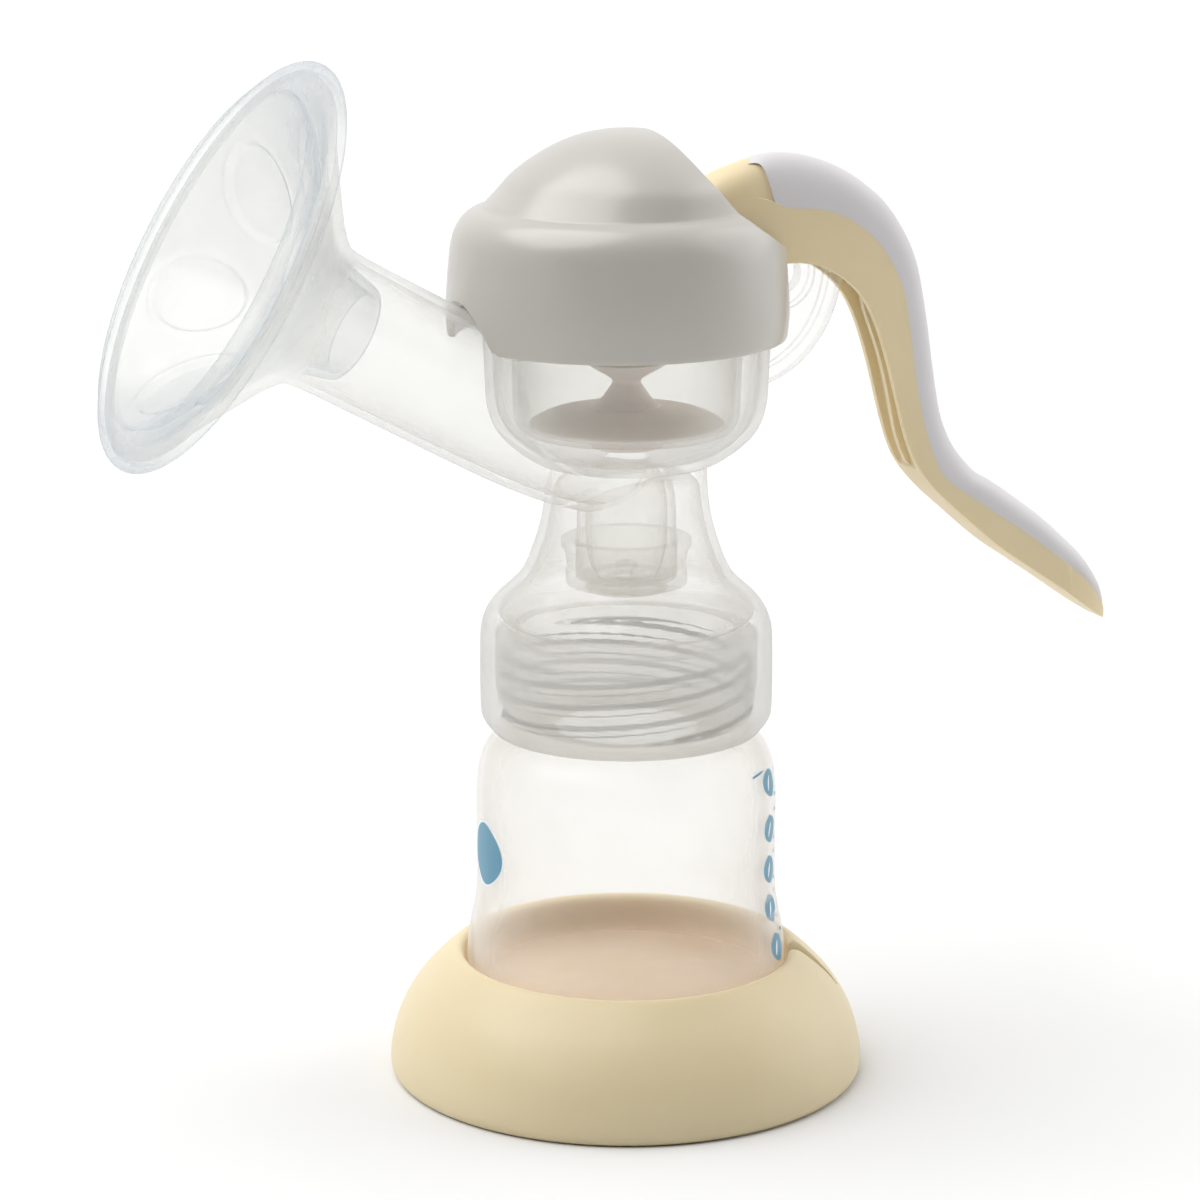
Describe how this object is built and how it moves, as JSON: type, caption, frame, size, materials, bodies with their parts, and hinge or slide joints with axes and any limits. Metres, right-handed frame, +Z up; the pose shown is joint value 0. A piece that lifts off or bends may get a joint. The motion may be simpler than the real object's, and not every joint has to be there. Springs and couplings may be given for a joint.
{
  "type": "manual breast pump",
  "caption": "Hand-squeezed breast pump: bottle in a stand, clear body with a cushioned shield, capped diaphragm and a hinged handle.",
  "frame": {"origin": "centre of the stand's underside, on the bottle's axis", "axes": "+Z up along the bottle's axis, +X towards the handle, -X towards the breast shield; the XZ plane is the plane of symmetry of the body"},
  "size_m": [0.2396, 0.108, 0.2324],
  "materials": {
    "yellow_plastic": "satin moulded",
    "frosted_plastic": "translucent, softly frosted",
    "clear_plastic": "clear moulded",
    "clear_silicone": "translucent, soft sheen",
    "stem_plastic": "satin",
    "grip_rubber": "soft-touch, matt",
    "pin_steel": "drawn",
    "cap_plastic": "satin moulded"
  },
  "bodies": {
    "stand": {"stand": "yellow_plastic", "stand_base_disc": "yellow_plastic"},
    "bottle": {"bottle": "frosted_plastic"},
    "pump": {"pump_body": "clear_plastic", "shield_funnel": "clear_plastic", "diaphragm": "clear_silicone"},
    "cushion": {"cushion": "clear_silicone"},
    "valve": {"valve_cup": "clear_plastic"},
    "flap": {"valve_flap": "clear_silicone"},
    "stem": {"stem": "stem_plastic", "stem_button": "stem_plastic"},
    "handle": {"handle_arm": "yellow_plastic", "handle_grip": "grip_rubber", "pivot_pin": "pin_steel"},
    "cap": {"cap": "cap_plastic"}
  },
  "joints": [
    {"name": "bottle_lift", "type": "slide", "parent": "stand", "child": "bottle", "axis": [0, 0, 1], "range_m": [0, 0.02]},
    {"name": "pump_lift", "type": "slide", "parent": "bottle", "child": "pump", "axis": [0, 0, 1], "range_m": [0, 0.03]},
    {"name": "handle_squeeze", "type": "hinge", "parent": "pump", "child": "handle", "pos_m": [0.027, 0, 0.19], "axis": [0, 1, 0], "range_deg": [0, 16], "stiffness_Nm_per_rad": 2, "springref_deg": -2.86},
    {"name": "stem_pull", "type": "slide", "parent": "pump", "child": "stem", "axis": [0, 0, 1], "range_m": [0, 0.0075], "deforming": ["diaphragm"]},
    {"name": "cap_lift", "type": "slide", "parent": "pump", "child": "cap", "axis": [0, 0, 1], "range_m": [0, 0.045]},
    {"name": "cushion_pull", "type": "slide", "parent": "pump", "child": "cushion", "axis": [-0.8763, 0, 0.4818], "range_m": [0, 0.045]},
    {"name": "valve_pull", "type": "slide", "parent": "pump", "child": "valve", "axis": [0, 0, -1], "range_m": [0, 0.012]},
    {"name": "flap_lift", "type": "slide", "parent": "valve", "child": "flap", "axis": [0, 0, -1], "range_m": [0, 0.0012], "stiffness_N_per_m": 40, "springref_m": -0.0015}
  ],
  "couplings": [
    {"joint": "stem_pull", "follows": "handle_squeeze", "m_per_rad": 0.0255}
  ]
}
